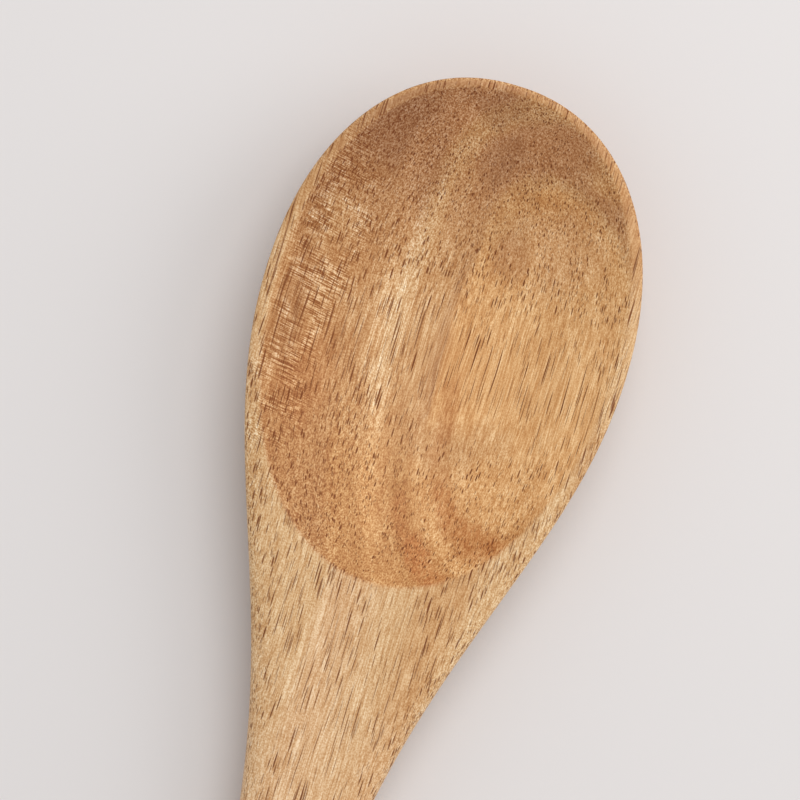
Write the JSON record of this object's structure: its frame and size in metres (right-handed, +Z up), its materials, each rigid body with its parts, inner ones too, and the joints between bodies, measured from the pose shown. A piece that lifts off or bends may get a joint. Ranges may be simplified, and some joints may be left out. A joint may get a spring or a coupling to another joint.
{
  "type": "wooden spoon",
  "caption": "Carved wooden spoon with an oval bowl, a waisted handle and a hanging hole, for stirring and serving food.",
  "frame": {"origin": "on the table under the middle of the spoon's length, where the spoon lies ready to use", "axes": "+Y from the handle's end to the bowl's tip, +X across the bowl, +Z up out of the hollow"},
  "size_m": [0.065, 0.33, 0.0185],
  "materials": {
    "wood": "oiled, satin"
  },
  "bodies": {
    "root": {"spoon": "wood"}
  },
  "joints": []
}
